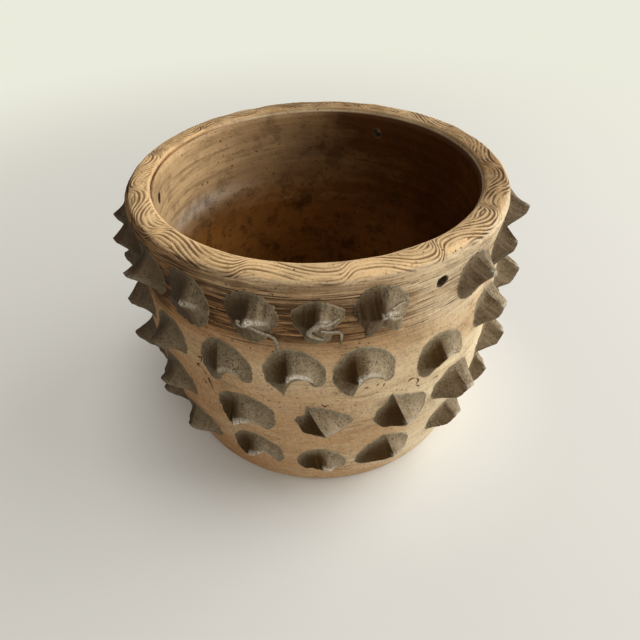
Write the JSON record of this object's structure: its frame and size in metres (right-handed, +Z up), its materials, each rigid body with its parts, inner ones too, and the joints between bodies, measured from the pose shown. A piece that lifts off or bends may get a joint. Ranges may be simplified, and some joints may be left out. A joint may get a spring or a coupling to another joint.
{
  "type": "clay planter",
  "caption": "Round clay planter with a deep soil well, a broad wave-combed rim, small hanging holes in its collar and rows of applied clay thorns round its wall.",
  "frame": {"origin": "centre of the flat face that the planter stands on", "axes": "+Z up along the pot's axis, -Y towards the front, +X to the right"},
  "size_m": [0.2619, 0.2627, 0.18],
  "materials": {
    "buff_clay": "unglazed buff stoneware, combed",
    "grey_clay": "unglazed grey clay, smeared on by hand"
  },
  "bodies": {
    "root": {"belly_thorns_01": "grey_clay", "belly_thorns_02": "grey_clay", "belly_thorns_03": "grey_clay", "belly_thorns_04": "grey_clay", "belly_thorns_05": "grey_clay", "belly_thorns_06": "grey_clay", "belly_thorns_07": "grey_clay", "belly_thorns_08": "grey_clay", "combed_collar": "buff_clay", "floor_slab": "buff_clay", "foot_thorns_01": "grey_clay", "foot_thorns_02": "grey_clay", "foot_thorns_03": "grey_clay", "foot_thorns_04": "grey_clay", "foot_thorns_05": "grey_clay", "foot_thorns_06": "grey_clay", "foot_thorns_07": "grey_clay", "foot_thorns_08": "grey_clay", "foot_thorns_09": "grey_clay", "neck_thorn_01": "grey_clay", "neck_thorn_02": "grey_clay", "neck_thorn_03": "grey_clay", "neck_thorn_04": "grey_clay", "neck_thorn_05": "grey_clay", "neck_thorn_06": "grey_clay", "neck_thorn_07": "grey_clay", "neck_thorn_08": "grey_clay", "neck_thorn_09": "grey_clay", "neck_thorn_10": "grey_clay", "neck_thorn_11": "grey_clay", "neck_thorn_12": "grey_clay", "neck_thorn_13": "grey_clay", "neck_thorn_14": "grey_clay", "neck_thorn_15": "grey_clay", "neck_thorn_16": "grey_clay", "neck_thorn_17": "grey_clay", "neck_thorn_18": "grey_clay", "neck_thorn_19": "grey_clay", "shoulder_thorn_01": "grey_clay", "shoulder_thorn_02": "grey_clay", "shoulder_thorn_03": "grey_clay", "shoulder_thorn_04": "grey_clay", "shoulder_thorn_05": "grey_clay", "shoulder_thorn_06": "grey_clay", "shoulder_thorn_07": "grey_clay", "shoulder_thorn_08": "grey_clay", "shoulder_thorn_09": "grey_clay", "shoulder_thorn_10": "grey_clay", "shoulder_thorn_11": "grey_clay", "shoulder_thorn_12": "grey_clay", "shoulder_thorn_13": "grey_clay", "shoulder_thorn_14": "grey_clay", "shoulder_thorn_15": "grey_clay", "shoulder_thorn_16": "grey_clay", "shoulder_thorn_17": "grey_clay", "shoulder_thorn_18": "grey_clay", "thrown_wall": "buff_clay"}
  },
  "joints": []
}
